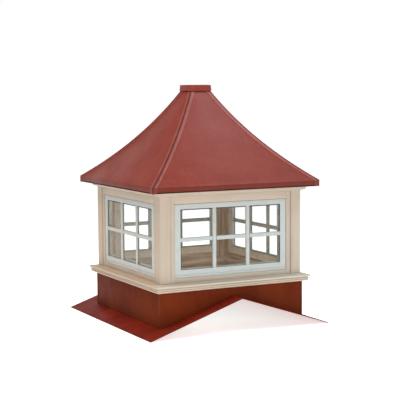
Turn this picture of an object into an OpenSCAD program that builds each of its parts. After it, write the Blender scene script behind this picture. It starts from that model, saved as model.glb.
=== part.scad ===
// Square roof cupola: a metal base that straddles a ridge, a windowed wooden body
// and a concave four-sided metal roof with a flat cap.

/* [Base] */
// Width of the square base
base_w = 914; // [760:1:1100]
// Height of the base wall over the ridge
base_ridge_h = 50; // [25:1:120]
// Thickness of the base walls
base_t = 19; // [12:1:28]
// Rise of the roof slope under the base, for a run of 12
roof_pitch = 4; // [2:0.5:9]

/* [Flashing] */
// Level reach of the flashing beyond each side wall
flange_side = 112; // [60:1:180]
// Reach of the flashing in front of the base
flange_front = 112; // [60:1:200]
// Reach of the flashing behind the base
flange_back = 175; // [60:1:220]
// Thickness of the flashing sheet
flange_t = 3; // [2:0.5:6]

/* [Sill] */
// Reach of the sill's nosing beyond the base wall
sill_out = 37; // [20:1:60]
// Height of the sill's outer edge
sill_h = 38; // [30:1:60]
// Rise of the sill's top from its edge to the body
sill_wash = 8; // [4:1:16]
// How far the band under the nosing stands back
sill_band_set = 7; // [3:1:14]
// Height of the band under the nosing
sill_band_h = 25; // [15:1:28]
// How far the sill's lower edge stands inside the band
sill_foot_set = 13; // [4:1:18]
// Height of the bevel from the lower edge up to the band
sill_foot_h = 5; // [3:1:10]

/* [Body] */
// How far the corner boards stand inside the base wall
body_set = 7; // [0:1:30]
// Height of the body from the sill to the eave
body_h = 510; // [420:1:700]
// Width of a corner board on each face
corner_w = 62; // [45:1:100]
// Thickness of the wall behind the casing's face
wall_t = 38; // [28:1:50]
// Width of the casing strip beside each corner board
casing_w = 30; // [15:1:50]
// How far the casing stands back from the corner board
casing_set = 6; // [3:1:16]
// Height of the rail over the window
top_rail_h = 71; // [60:1:110]
// Height of the rail under the window
bottom_rail_h = 26; // [10:1:60]

/* [Windows] */
// Face width of the window frame's sides
frame_w = 38; // [28:1:60]
// Face height of the frame over the glass
frame_head_h = 30; // [22:1:60]
// Face height of the frame under the glass
frame_foot_h = 44; // [28:1:80]
// Depth of the window frame
frame_t = 34; // [22:1:40]
// How far the frame stands back from the casing
frame_set = 3; // [0:1:10]
// How far the glass stands behind the frame's face
glass_set = 6; // [4:1:16]
// Thickness of the glass
glass_t = 4; // [3:1:8]
// Depth of the groove that holds the glass
groove_d = 8; // [5:1:12]

/* [Cornice] */
// Height of the moulding under the eave
cornice_h = 23; // [18:1:55]
// Reach of the moulding beyond the corner boards
cornice_out = 26; // [14:1:38]
// Height of the strip that carries the moulding on the wall
cornice_foot_h = 4; // [3:1:12]
// Thickness of the strip that carries the moulding
cornice_foot_t = 5; // [3:1:10]
// How far the moulding's lower edge stands back
cornice_lean = 3; // [1:1:8]
// Thickness of the soffit boards
soffit_t = 12; // [9:1:18]

/* [Roof] */
// Reach of the roof's folded edge beyond the corner boards
eave_out = 77; // [50:1:140]
// Height of the folded edge
eave_h = 32; // [20:1:45]
// Rise of the curved roof from the folded edge to the cap
roof_rise = 519; // [420:1:640]
// Hollow of the roof's curve below a straight line
roof_sag = 34; // [15:1:60]
// Thickness of the roof panels
panel_t = 10; // [6:1:14]
// Width of the hip strips on each panel
hip_w = 28; // [18:1:52]
// Thickness of the hip strips
hip_t = 3; // [2:0.5:5]

/* [Cap] */
// Width of the square cap
cap_w = 136; // [124:1:180]
// Height of the cap
cap_h = 35; // [28:1:60]
// Thickness of the cap's sheet
cap_t = 4; // [3:0.5:6]

/* [Hidden] */
$fn = 360;
SEAT = 0.3;           // gap at a seat
EPS = 1;              // cutters run past a face by this much
CAP_ROOM = 5;         // room between the panels' top ends and the cap
HIP_TUCK = 10;        // length of the hip strips that is inside the cap
RED = "#8a4038";
RED_DARK = "#6a2a1e";
CREAM = "#cbb9a3";
WHITE = "#d6d8cf";

// Base and saddle
slope = roof_pitch / 12;
base_r = base_w / 2;
side_reach = base_r + flange_side;
sheet_z = flange_t / cos(atan(slope));          // upright thickness of the sloping sheet
ridge_z = side_reach * slope + sheet_z;         // top of the sheet at the ridge
base_top = ridge_z + base_ridge_h;
shift_y = (flange_front - flange_back) / 2;     // centres the whole part on its origin

// Sill and body
body_r = base_r - body_set;
inner_r = body_r - casing_set - wall_t;
sill_r = base_r + sill_out;
band_r = sill_r - sill_band_set;
seat_z = base_top + sill_h + sill_wash;
eave_z = seat_z + body_h;
opening_r = body_r - corner_w - casing_w;       // half the width between the casings
frame_low = seat_z + bottom_rail_h;
frame_high = eave_z - top_rail_h;
frame_y = body_r - casing_set - frame_set;      // outer face of the window frame
sight_r = opening_r - frame_w;                  // clear opening in the frame
sight_low = frame_low + frame_foot_h;
sight_high = frame_high - frame_head_h;

// Roof: the panel's outer face is an arc of radius curve_r about curve_c
eave_r = body_r + eave_out;
roof_z = eave_z + eave_h;
cap_z = roof_z + roof_rise;
top_r = cap_w / 2 - cap_t - hip_t - 2 * SEAT;   // half width of the panels under the cap
run = eave_r - top_r;
chord = sqrt(run * run + roof_rise * roof_rise);
curve_r = chord * chord / (8 * roof_sag) + roof_sag / 2;
curve_c = [(eave_r + top_r) / 2 + (curve_r - roof_sag) * roof_rise / chord,
           roof_z + roof_rise / 2 + (curve_r - roof_sag) * run / chord];
panel_top = cap_z + cap_h - cap_t - CAP_ROOM;
hip_top = cap_z + HIP_TUCK;

// Puts the part's centre on the origin
module place() translate([0, shift_y, 0]) children();

// Turns what is drawn for the front (-Y) to another side or corner, counted anticlockwise
module turn(i) rotate([0, 0, 90 * i]) children();

// Extrudes a profile of (distance from the middle, height) along the front side
module along(length) rotate([90, 0, -90]) linear_extrude(height = length, center = true) children();

// Quarter of the plan that belongs to the front side, cut along the diagonals
module front_quarter(reach) linear_extrude(height = 4 * cap_z, center = true)
    polygon([[0, 0], [-reach, -reach], [reach, -reach]]);

// One mitred side of a square ring
module mitred(reach) intersection() {
    along(2 * reach) children();
    front_quarter(reach + EPS);
}

function slope_z(x) = ridge_z - abs(x) * slope;

// Front or back base wall, notched over the ridge
module gable_wall() color(RED_DARK)
    translate([0, -base_r, 0]) rotate([90, 0, 0]) mirror([0, 0, 1]) linear_extrude(height = base_t)
        polygon([[-base_r, slope_z(base_r)], [0, ridge_z], [base_r, slope_z(base_r)],
                 [base_r, base_top], [-base_r, base_top]]);

// Side base wall, between the gable walls
module side_wall() color(RED_DARK) along(base_w - 2 * base_t)
    polygon([[base_r - base_t, slope_z(base_r - base_t)], [base_r, slope_z(base_r)],
             [base_r, base_top], [base_r - base_t, base_top]]);

// Flashing that folds over the ridge, in front of or behind the base
module ridge_flashing(reach) color(RED)
    translate([0, base_t - base_r, 0]) rotate([90, 0, 0]) linear_extrude(height = reach + base_t)
        polygon([[base_t - base_r, slope_z(base_r - base_t)], [0, ridge_z],
                 [base_r - base_t, slope_z(base_r - base_t)],
                 [base_r - base_t, slope_z(base_r - base_t) - sheet_z],
                 [0, ridge_z - sheet_z],
                 [base_t - base_r, slope_z(base_r - base_t) - sheet_z]]);

// Flashing down the right-hand slope, as long as the whole skirt
module side_flashing() color(RED)
    translate([0, base_r + flange_back, 0]) rotate([90, 0, 0])
        linear_extrude(height = base_w + flange_front + flange_back)
            polygon([[base_r - base_t, slope_z(base_r - base_t)], [side_reach, slope_z(side_reach)],
                     [side_reach, slope_z(side_reach) - sheet_z],
                     [base_r - base_t, slope_z(base_r - base_t) - sheet_z]]);

// One side of the moulded sill
module sill() color(CREAM) translate([0, 0, base_top]) mitred(sill_r)
    polygon([[inner_r, 0], [band_r - sill_foot_set, 0], [band_r, sill_foot_h], [band_r, sill_band_h],
             [sill_r, sill_band_h + sill_band_set / 2], [sill_r, sill_h],
             [body_r, sill_h + sill_wash], [inner_r, sill_h + sill_wash]]);

// Corner post: two corner boards with a casing strip set back beside each
module corner_post() color(CREAM) {
    reach = corner_w + casing_w;
    back = casing_set + wall_t;
    translate([-body_r, -body_r, seat_z]) linear_extrude(height = body_h)
        polygon([[0, 0], [corner_w, 0], [corner_w, casing_set], [reach, casing_set], [reach, back],
                 [back, back], [back, reach], [casing_set, reach], [casing_set, corner_w],
                 [0, corner_w]]);
}

// Rail between two posts, flush with their casing strips
module rail(low, height) color(CREAM) translate([-opening_r, casing_set - body_r, low])
    cube([2 * opening_r, wall_t, height]);

// Block the size of the clear opening in the frame grown by d, from the frame's face inwards
module sight(d, depth) translate([-sight_r - d, 0, sight_low - d])
    cube([2 * (sight_r + d), depth, sight_high - sight_low + 2 * d]);

// Window frame with a groove for the glass
module window_frame() color(WHITE) translate([0, -frame_y, 0]) difference() {
    translate([-opening_r, 0, frame_low]) cube([2 * opening_r, frame_t, frame_high - frame_low]);
    translate([0, -EPS, 0]) sight(0, frame_t + 2 * EPS);
    translate([0, glass_set - SEAT, 0]) sight(groove_d + SEAT, glass_t + 2 * SEAT);
}

// Pane of glass in the frame's groove
module window_glass() color("#b8c4c8", 0.35) translate([0, glass_set - frame_y, 0])
    sight(groove_d, glass_t);

// One side of the moulding under the eave
module cornice() color(CREAM) translate([0, 0, eave_z]) mitred(body_r + cornice_out)
    polygon([[body_r, -cornice_h - cornice_foot_h],
             [body_r + cornice_foot_t, -cornice_h - cornice_foot_h],
             [body_r + cornice_out - cornice_lean, -cornice_h],
             [body_r + cornice_out, -cornice_lean], [body_r + cornice_out, 0], [body_r, 0]]);

// Boards that close the eave from below
module soffit() color(CREAM) translate([0, 0, eave_z]) linear_extrude(height = soffit_t)
    difference() {
        square(2 * (eave_r - panel_t), center = true);
        square(2 * inner_r, center = true);
    }

// Half of the roof's section, grown outwards by d
module roof_half(d, low, high) difference() {
    translate([0, low]) square([eave_r + d, high - low]);
    translate(curve_c) circle(curve_r - d);
}

// The whole roof as one block, grown outwards by d
module roof_block(d, low, high) intersection_for (i = [0, 1]) turn(i)
    along(2 * (eave_r + d) + 2 * EPS) {
        roof_half(d, low, high);
        mirror([1, 0]) roof_half(d, low, high);
    }

// One curved panel with its folded edge
module roof_panel() color(RED) mitred(eave_r) difference() {
    roof_half(0, eave_z, panel_top);
    roof_half(-panel_t, eave_z - EPS, panel_top + EPS);
}

// Hip strip: one flank on each of two panels, folded down over the eave
module hip_strip() color(RED) {
    hip_flank();
    mirror([1, -1, 0]) hip_flank();
}

// The flank on the front panel, beside the front left hip and up to the panel's middle
module hip_flank() intersection() {
    along(2 * (eave_r + hip_t + EPS)) difference() {
        roof_half(SEAT + hip_t, eave_z, hip_top);
        roof_half(SEAT, eave_z - EPS, hip_top + EPS);
    }
    linear_extrude(height = cap_z + 2 * cap_h)
        polygon([[-SEAT / 2, -SEAT / 2], [-2 * eave_r, -2 * eave_r],
                 [hip_w - 2 * eave_r, -2 * eave_r], [-SEAT / 2, -SEAT / 2 - hip_w]]);
}

// Flat square cap over the panels' top ends
module roof_cap() color(RED) difference() {
    translate([-cap_w / 2, -cap_w / 2, cap_z]) cube([cap_w, cap_w, cap_h]);
    translate([cap_t - cap_w / 2, cap_t - cap_w / 2, cap_z - EPS])
        cube([cap_w - 2 * cap_t, cap_w - 2 * cap_t, cap_h - cap_t + EPS]);
    roof_block(hip_t + 2 * SEAT, eave_z, cap_z + cap_h - cap_t - EPS);
}

place() gable_wall();  // base_wall_front
place() turn(1) side_wall();  // base_wall_right
place() turn(2) gable_wall();  // base_wall_back
place() turn(3) side_wall();  // base_wall_left
place() ridge_flashing(flange_front);  // flashing_front
place() side_flashing();  // flashing_right
place() turn(2) ridge_flashing(flange_back);  // flashing_back
place() mirror([1, 0, 0]) side_flashing();  // flashing_left
place() sill();  // sill_front
place() turn(1) sill();  // sill_right
place() turn(2) sill();  // sill_back
place() turn(3) sill();  // sill_left
place() corner_post();  // corner_post_front_left
place() turn(1) corner_post();  // corner_post_front_right
place() turn(2) corner_post();  // corner_post_back_right
place() turn(3) corner_post();  // corner_post_back_left
place() rail(seat_z, bottom_rail_h);  // bottom_rail_front
place() turn(1) rail(seat_z, bottom_rail_h);  // bottom_rail_right
place() turn(2) rail(seat_z, bottom_rail_h);  // bottom_rail_back
place() turn(3) rail(seat_z, bottom_rail_h);  // bottom_rail_left
place() rail(frame_high, top_rail_h);  // top_rail_front
place() turn(1) rail(frame_high, top_rail_h);  // top_rail_right
place() turn(2) rail(frame_high, top_rail_h);  // top_rail_back
place() turn(3) rail(frame_high, top_rail_h);  // top_rail_left
place() window_frame();  // window_frame_front
place() turn(1) window_frame();  // window_frame_right
place() turn(2) window_frame();  // window_frame_back
place() turn(3) window_frame();  // window_frame_left
place() window_glass();  // window_glass_front
place() turn(1) window_glass();  // window_glass_right
place() turn(2) window_glass();  // window_glass_back
place() turn(3) window_glass();  // window_glass_left
place() cornice();  // cornice_front
place() turn(1) cornice();  // cornice_right
place() turn(2) cornice();  // cornice_back
place() turn(3) cornice();  // cornice_left
place() soffit();
place() roof_panel();  // roof_panel_front
place() turn(1) roof_panel();  // roof_panel_right
place() turn(2) roof_panel();  // roof_panel_back
place() turn(3) roof_panel();  // roof_panel_left
place() hip_strip();  // hip_strip_front_left
place() turn(1) hip_strip();  // hip_strip_front_right
place() turn(2) hip_strip();  // hip_strip_back_right
place() turn(3) hip_strip();  // hip_strip_back_left
place() roof_cap();
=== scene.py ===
"""Visual model of a square roof cupola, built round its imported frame."""
import logging
import math
from contextlib import contextmanager
from dataclasses import dataclass, field
from enum import Enum
from typing import Callable, Iterator, Sequence

import bmesh
import bpy
from mathutils import Matrix, Vector


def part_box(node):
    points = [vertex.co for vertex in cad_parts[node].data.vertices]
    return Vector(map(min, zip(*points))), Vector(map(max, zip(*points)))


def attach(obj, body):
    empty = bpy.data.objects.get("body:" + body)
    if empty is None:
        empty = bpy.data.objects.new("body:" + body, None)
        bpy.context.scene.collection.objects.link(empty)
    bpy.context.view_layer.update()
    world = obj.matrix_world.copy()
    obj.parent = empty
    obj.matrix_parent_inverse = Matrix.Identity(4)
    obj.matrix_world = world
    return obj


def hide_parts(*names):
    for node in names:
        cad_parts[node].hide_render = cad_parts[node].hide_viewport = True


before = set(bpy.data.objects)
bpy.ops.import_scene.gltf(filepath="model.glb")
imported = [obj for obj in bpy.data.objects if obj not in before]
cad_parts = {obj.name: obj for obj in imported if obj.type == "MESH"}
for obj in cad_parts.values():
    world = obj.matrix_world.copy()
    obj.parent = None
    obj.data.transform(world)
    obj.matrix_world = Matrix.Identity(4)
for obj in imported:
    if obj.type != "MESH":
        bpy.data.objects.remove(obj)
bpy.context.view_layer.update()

LOG = logging.getLogger("cupola")
SIDES = ("front", "right", "back", "left")
CORNERS = ("front_left", "front_right", "back_right", "back_left")
ROLL_TURNS = tuple(i * math.pi / 4 for i in range(8))  # corners of a small roll's section
NEAR = 0.0005  # how far a face or an edge may lie off the plane that it is picked by
HAIR = 0.0002  # gap that keeps two faces from lying in one plane
SPARE = 0.01  # length past a mitre that its cut takes off
MIRROR = Matrix(((0, 1, 0, 0), (1, 0, 0, 0), (0, 0, 1, 0), (0, 0, 0, 1)))  # swaps x and y
Section = Sequence[tuple[float, float]]
Point = tuple[float, float, float]
Colour = tuple[float, float, float]


class Grain(Enum):
    """Direction in which a board's grain runs."""

    ACROSS = (1.0, 0.0, 0.0)
    ALONG = (0.0, 1.0, 0.0)
    UPRIGHT = (0.0, 0.0, 1.0)


SIDE_GRAINS = (Grain.ACROSS, Grain.ALONG) * 2  # grain of the level boards, in the order of SIDES
Boards = dict[Grain, bpy.types.Material]


class Slot(Enum):
    """Material slots of the record."""

    BASE = "base_metal"
    FLASHING = "flashing_metal"
    ROOF = "roof_metal"
    TRIM = "painted_trim"
    WINDOW = "window_frame"


# ---------------------------------------------------------------- shader expressions


class Value:
    """A shader socket that takes part in Python expressions."""

    def __init__(self, recipe: "Recipe", socket: bpy.types.NodeSocket) -> None:
        """Keeps the socket and the recipe it belongs to."""
        self.recipe = recipe
        self.socket = socket

    def _math(self, operation: str, *others: "Value | float") -> "Value":
        """Adds one Math node.

        Args:
            operation: the node's operation.
            others: the values after this one.

        Returns:
            The node's result.
        """
        values = dict(enumerate((self, *others)))
        return self.recipe.node("ShaderNodeMath", {"operation": operation}, values)

    def __add__(self, other: "Value | float") -> "Value":
        """Sum."""
        return self._math("ADD", other)

    __radd__ = __add__

    def __mul__(self, other: "Value | float") -> "Value":
        """Product."""
        return self._math("MULTIPLY", other)

    __rmul__ = __mul__

    def __sub__(self, other: "Value | float") -> "Value":
        """Difference."""
        return self._math("SUBTRACT", other)

    def __rsub__(self, other: float) -> "Value":
        """A number less this value."""
        return self * -1.0 + other

    def __abs__(self) -> "Value":
        """Size without sign."""
        return self._math("ABSOLUTE")

    def most(self, other: "Value | float") -> "Value":
        """Larger of two values."""
        return self._math("MAXIMUM", other)

    def below(self, limit: float) -> "Value":
        """1 where the value is under the limit, else 0."""
        return self._math("LESS_THAN", limit)

    def ease(self, low: float, high: float) -> "Value":
        """Smooth step from 0 at low to 1 at high.

        Args:
            low: value that gives 0.
            high: value that gives 1.

        Returns:
            The eased value.
        """
        return self.recipe.node("ShaderNodeMapRange", {"interpolation_type": "SMOOTHSTEP"},
                                {"Value": self, "From Min": low, "From Max": high})


class Recipe:
    """A material's or a world's node tree while it is being put together."""

    def __init__(self, name: str, world: bool = False) -> None:
        """Starts an empty tree.

        Args:
            name: the material's or the world's name.
            world: True for a world.
        """
        self.made = (bpy.data.worlds if world else bpy.data.materials).new(name)
        self.made.use_nodes = True
        self.tree = self.made.node_tree
        self.tree.nodes.clear()
        self.place = self.node("ShaderNodeTexCoord", out="Generated" if world else "Object")
        parts = self.node("ShaderNodeSeparateXYZ", None, {0: self.place})
        outs = parts.socket.node.outputs
        self.x, self.y, self.z = (Value(self, outs[i]) for i in range(3))

    @staticmethod
    def _find(sockets: Sequence, key: "str | int") -> bpy.types.NodeSocket:
        """Finds a socket.

        Args:
            sockets: a node's inputs or outputs.
            key: number, identifier or name.

        Returns:
            The socket.
        """
        if isinstance(key, int):
            return sockets[key]
        return next(s for s in sockets if key in (s.identifier, s.name))

    def node(self, kind: str, settings: "dict | None" = None, sockets: "dict | None" = None,
             out: "str | int" = 0) -> Value:
        """Adds a node.

        Args:
            kind: node type.
            settings: properties set first.
            sockets: input values or links by number, identifier or name.
            out: the output to return.

        Returns:
            The chosen output.
        """
        made = self.tree.nodes.new(kind)
        for key, value in (settings or {}).items():
            setattr(made, key, value)
        for key, value in (sockets or {}).items():
            target = self._find(made.inputs, key)
            if isinstance(value, Value):
                self.tree.links.new(value.socket, target)
            elif isinstance(value, tuple) and len(value) == 3 and target.type == "RGBA":
                target.default_value = (*value, 1.0)
            else:
                target.default_value = value
        return Value(self, self._find(made.outputs, out))

    def blend(self, amount: "Value | float", first: "Value | Colour", second: "Value | Colour") -> Value:
        """Mixes two colours.

        Args:
            amount: share of the second colour.
            first: colour at 0.
            second: colour at 1.

        Returns:
            The mixed colour.
        """
        return self.node("ShaderNodeMix", {"data_type": "RGBA"},
                         {"Factor_Float": amount, "A_Color": first, "B_Color": second}, "Result_Color")

    def stretched(self, scale: Point) -> Value:
        """Object coordinates scaled along each axis."""
        return self.node("ShaderNodeMapping", None, {"Vector": self.place, "Scale": scale})

    def noise(self, scale: float, detail: float = 3.0, rough: float = 0.5,
              where: "Value | None" = None) -> Value:
        """Noise from about 0.3 to 0.7.

        Args:
            scale: cycles per metre.
            detail: number of octaves.
            rough: strength of the finer octaves.
            where: coordinates, or the object's own.

        Returns:
            The noise value.
        """
        return self.node("ShaderNodeTexNoise", None, {
            "Vector": where or self.place, "Scale": scale, "Detail": detail, "Roughness": rough})

    def bump(self, height: Value, depth: float, under: "Value | None" = None) -> Value:
        """Bumped normal.

        Args:
            height: pattern from 0 to 1.
            depth: its depth in metres.
            under: another bump that this one lies on.

        Returns:
            The normal.
        """
        sockets = {"Height": height, "Distance": depth, "Strength": 1.0}
        if under is not None:
            sockets["Normal"] = under
        return self.node("ShaderNodeBump", None, sockets, "Normal")

    def finish(self, base: "Value | Colour", roughness: "Value | float", normal: "Value | None" = None,
               specular: float = 0.5, glow: float = 0.0) -> bpy.types.Material:
        """Closes the recipe with one Principled shader.

        Args:
            base: base colour.
            roughness: roughness.
            normal: bumped normal.
            specular: level of the plain reflection.
            glow: strength of a white glow.

        Returns:
            The finished material.
        """
        sockets = {"Base Color": base, "Roughness": roughness, "Specular IOR Level": specular}
        if normal is not None:
            sockets["Normal"] = normal
        if glow:
            sockets.update({"Emission Color": (1.0, 1.0, 1.0), "Emission Strength": glow})
        self.node_output(self.node("ShaderNodeBsdfPrincipled", None, sockets))
        return self.made

    def node_output(self, shader: Value, kind: str = "ShaderNodeOutputMaterial") -> None:
        """Links a shader to the tree's output."""
        end = self.tree.nodes.new(kind)
        self.tree.links.new(shader.socket, end.inputs["Surface"])

    def spread(self, middle: float) -> Value:
        """Distance from the upright axis, measured square to the nearest side."""
        return abs(self.x).most(abs(self.y - middle))


# ---------------------------------------------------------------- finishes


@dataclass(frozen=True)
class PaintedSheet:
    """Baked paint on thin steel: slightly mottled, dusty, with faint rain streaks, and painted shade below a
    fold's height.
    """

    name: str
    paint: Colour
    deep: Colour
    dust: Colour
    gloss: float = 0.42
    specular: float = 0.16
    dusting: float = 0.25
    fold: float = 0.0
    fold_shade_soft: float = 0.002

    def make(self) -> bpy.types.Material:
        """Builds the material, with painted shade below the height of a fold where one is given.

        Returns:
            The material.
        """
        r = Recipe(self.name)
        mottle = r.noise(5.5, 4.0, 0.6).ease(0.32, 0.68)
        streak = r.noise(1.0, 3.0, 0.6, r.stretched((55.0, 55.0, 4.0))).ease(0.42, 0.72)
        speck = r.noise(900.0, 2.0, 0.7).ease(0.62, 0.75)
        tone = r.blend(mottle, self.paint, self.deep)
        tone = r.blend(streak * self.dusting * 0.6, tone, self.dust)
        tone = r.blend(speck * self.dusting * 0.35, tone, self.dust)
        if self.fold:
            # painted shade: below the fold the paint turns darker, standing in for the shade on the fold's
            # upright face
            below = r.z.ease(self.fold + self.fold_shade_soft, self.fold - self.fold_shade_soft)
            tone = r.blend(below * 0.6, tone, tuple(c * 0.5 for c in self.deep))
        rough = mottle * 0.10 + streak * 0.08 + (self.gloss - 0.06)
        dents = r.bump(r.noise(7.0, 1.0), 0.0016)
        peel = r.bump(r.noise(420.0, 2.0), 0.00006, dents)
        return r.finish(tone, rough, peel, self.specular)


@dataclass(frozen=True)
class PaintedBoard:
    """Cream paint over timber: brushed grain outside, bare timber on the inner faces."""

    name: str
    grain: Grain
    middle: float
    bare_inside: float
    paint: Colour = (0.470, 0.380, 0.300)
    shade: Colour = (0.392, 0.306, 0.236)
    bare: Colour = (0.520, 0.400, 0.290)
    bare_dark: Colour = (0.320, 0.225, 0.150)

    def make(self) -> bpy.types.Material:
        """Builds the material.

        Returns:
            The material.
        """
        r = Recipe(self.name)
        along = self.grain.value
        fibres = r.noise(1.0, 5.0, 0.65, r.stretched(tuple(3.0 if part else 60.0 for part in along)))
        fine = r.noise(1.0, 3.0, 0.6, r.stretched(tuple(8.0 if part else 520.0 for part in along)))
        cloud = r.noise(6.0, 3.0).ease(0.35, 0.70)
        painted = r.blend(fibres.ease(0.44, 0.74) * 0.45 + cloud * 0.25, self.paint, self.shade)
        rings = r.blend(fibres.ease(0.36, 0.62), self.bare, self.bare_dark)
        rings = r.blend(fine.ease(0.5, 0.8) * 0.35, rings, self.bare_dark)
        inner = r.spread(self.middle).below(self.bare_inside)
        tone = r.blend(inner, painted, rings)
        rough = inner * 0.25 + fine * 0.12 + 0.46
        face = r.bump(fibres, 0.0009)
        return r.finish(tone, rough, r.bump(fine, 0.0003, face), 0.25)


@dataclass(frozen=True)
class Plywood:
    """Bare sanded plywood, its grain along X."""

    name: str
    face: Colour = (0.430, 0.295, 0.197)
    knot: Colour = (0.250, 0.157, 0.100)

    def make(self) -> bpy.types.Material:
        """Builds the material.

        Returns:
            The material.
        """
        r = Recipe(self.name)
        fibres = r.noise(1.0, 5.0, 0.7, r.stretched((2.2, 38.0, 38.0)))
        tone = r.blend(fibres.ease(0.38, 0.66), self.face, self.knot)
        return r.finish(tone, fibres * 0.2 + 0.62, r.bump(fibres, 0.0006), 0.25)


@dataclass(frozen=True)
class Vinyl:
    """Extruded window vinyl: pale outside, dusty, with another tone towards the room."""

    name: str
    middle: float
    inside: float
    pale: Colour = (0.452, 0.462, 0.444)
    grime: Colour = (0.400, 0.400, 0.378)
    inner: Colour = (0.580, 0.480, 0.360)

    def make(self) -> bpy.types.Material:
        """Builds the material.

        Returns:
            The material.
        """
        r = Recipe(self.name)
        smudge = r.noise(28.0, 4.0, 0.6).ease(0.42, 0.75)
        draw = r.noise(1.0, 2.0, 0.5, r.stretched((260.0, 260.0, 12.0)))
        tone = r.blend(smudge * 0.5, self.pale, self.grime)
        back = r.blend(smudge * 0.5, self.inner, tuple(c * 0.6 for c in self.inner))
        # room-side tone; on the bars and beads it is a darker grey, partly their own colour and partly painted
        # shade
        tone = r.blend(r.spread(self.middle).below(self.inside), tone, back)
        return r.finish(tone, smudge * 0.18 + 0.34, r.bump(draw, 0.00012), 0.3)


@dataclass(frozen=True)
class Rubber:
    """Dark glazing rubber, dulled by dust."""

    name: str
    black: Colour = (0.045, 0.045, 0.043)
    dust: Colour = (0.160, 0.155, 0.140)

    def make(self) -> bpy.types.Material:
        """Builds the material.

        Returns:
            The material.
        """
        r = Recipe(self.name)
        dust = r.noise(90.0, 4.0, 0.6).ease(0.45, 0.75)
        return r.finish(r.blend(dust * 0.6, self.black, self.dust), dust * 0.2 + 0.6,
                        r.bump(r.noise(800.0), 0.00008), 0.25)


@dataclass(frozen=True)
class ClearGlass:
    """Float glass: see-through, with reflections that grow at a glancing angle and a little dust."""

    name: str
    tint: Colour = (0.995, 1.0, 0.998)

    def make(self) -> bpy.types.Material:
        """Builds the material.

        Returns:
            The material.
        """
        r = Recipe(self.name)
        film = r.noise(9.0, 4.0, 0.6).ease(0.5, 0.85)
        clear = r.node("ShaderNodeBsdfTransparent", None, {"Color": self.tint})
        sheen = r.node("ShaderNodeBsdfPrincipled", None,
                       {"Base Color": (0.75, 0.78, 0.76), "Roughness": film * 0.10 + 0.04,
                        "Specular IOR Level": 0.5})
        glance = r.node("ShaderNodeFresnel", None, {"IOR": 1.45})
        mix = r.node("ShaderNodeMixShader", None, {0: glance * 0.12 + film * 0.010, 1: clear, 2: sheen})
        r.node_output(mix)
        return r.made


@dataclass(frozen=True)
class StudioFloor:
    """Plain pale floor that glows a little, so that no horizon shows."""

    name: str = "studio_floor"
    tone: Colour = (0.97, 0.97, 0.97)
    glow: float = 0.62

    def make(self) -> bpy.types.Material:
        """Builds the material.

        Returns:
            The material.
        """
        r = Recipe(self.name)
        grain = r.noise(60.0).ease(0.3, 0.7)
        tone = r.blend(grain * 0.02, self.tone, (0.92, 0.92, 0.92))
        return r.finish(tone, 0.9, specular=0.05, glow=self.glow)


# ---------------------------------------------------------------- workbench


class Picker:
    """Selects parts of the mesh that is being edited, by place or normal."""

    def __init__(self, mesh: bpy.types.Mesh) -> None:
        """Keeps the mesh."""
        self.mesh = mesh

    def _start(self, mode: str) -> bmesh.types.BMesh:
        """Deselects all in a select mode.

        Args:
            mode: VERT, EDGE or FACE.

        Returns:
            The edit mesh.
        """
        bpy.ops.mesh.select_mode(type=mode)
        bpy.ops.mesh.select_all(action="DESELECT")
        return bmesh.from_edit_mesh(self.mesh)

    def faces(self, test: Callable[[Vector, Vector], bool]) -> None:
        """Selects faces.

        Args:
            test: says from a face's centre and normal if it is wanted.
        """
        for face in self._start("FACE").faces:
            face.select_set(bool(test(face.calc_center_median(), face.normal)))
        bmesh.update_edit_mesh(self.mesh)

    def edges(self, test: Callable[[Vector, Vector], bool]) -> None:
        """Selects edges.

        Args:
            test: says from an edge's two ends if it is wanted.
        """
        for edge in self._start("EDGE").edges:
            edge.select_set(bool(test(edge.verts[0].co, edge.verts[1].co)))
        bmesh.update_edit_mesh(self.mesh)

    def corner(self, number: int) -> Vector:
        """Selects one corner.

        Args:
            number: its number in the mesh.

        Returns:
            Its place.
        """
        shape = self._start("VERT")
        shape.verts.ensure_lookup_table()
        shape.verts[number].select_set(True)
        place = shape.verts[number].co.copy()
        bmesh.update_edit_mesh(self.mesh)
        return place


@contextmanager
def editing(obj: bpy.types.Object) -> Iterator[Picker]:
    """Edit mode on one object.

    Args:
        obj: the object to edit.

    Returns:
        A picker on its mesh.
    """
    choose(obj)
    bpy.ops.object.mode_set(mode="EDIT")
    yield Picker(obj.data)
    bpy.ops.object.mode_set(mode="OBJECT")


def choose(obj: bpy.types.Object) -> None:
    """Makes one object the only selected and active one.

    Args:
        obj: the object.
    """
    bpy.ops.object.select_all(action="DESELECT")
    obj.select_set(True)
    bpy.context.view_layer.objects.active = obj


def settle(obj: bpy.types.Object) -> None:
    """Moves an object's place, turn and size into its mesh."""
    choose(obj)
    bpy.ops.object.transform_apply(location=True, rotation=True, scale=True)


def extrude(move: Sequence[float]) -> None:
    """Extrudes the selection by a vector."""
    bpy.ops.mesh.extrude_region_move(TRANSFORM_OT_translate={"value": tuple(move)})


def cut(place: Sequence[float], normal: Sequence[float], keep_behind: "bool | None" = None) -> None:
    """Cuts the whole edited mesh with a plane.

    Args:
        place: a point on the plane.
        normal: the plane's normal.
        keep_behind: True keeps what is behind the plane, False what is in front, None both.
    """
    bpy.ops.mesh.select_all(action="SELECT")
    bpy.ops.mesh.bisect(plane_co=tuple(place), plane_no=tuple(normal), use_fill=keep_behind is not None,
                        clear_outer=keep_behind is True, clear_inner=keep_behind is False)


def block(name: str, low: Sequence[float], high: Sequence[float]) -> bpy.types.Object:
    """Adds a cube primitive at its size and place.

    Args:
        name: the piece's name.
        low: lowest corner.
        high: highest corner.

    Returns:
        The block.
    """
    low, high = Vector(low), Vector(high)
    bpy.ops.mesh.primitive_cube_add(size=1, location=(low + high) / 2)
    obj = bpy.context.active_object
    obj.name = obj.data.name = name
    obj.scale = high - low
    settle(obj)
    return obj


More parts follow.
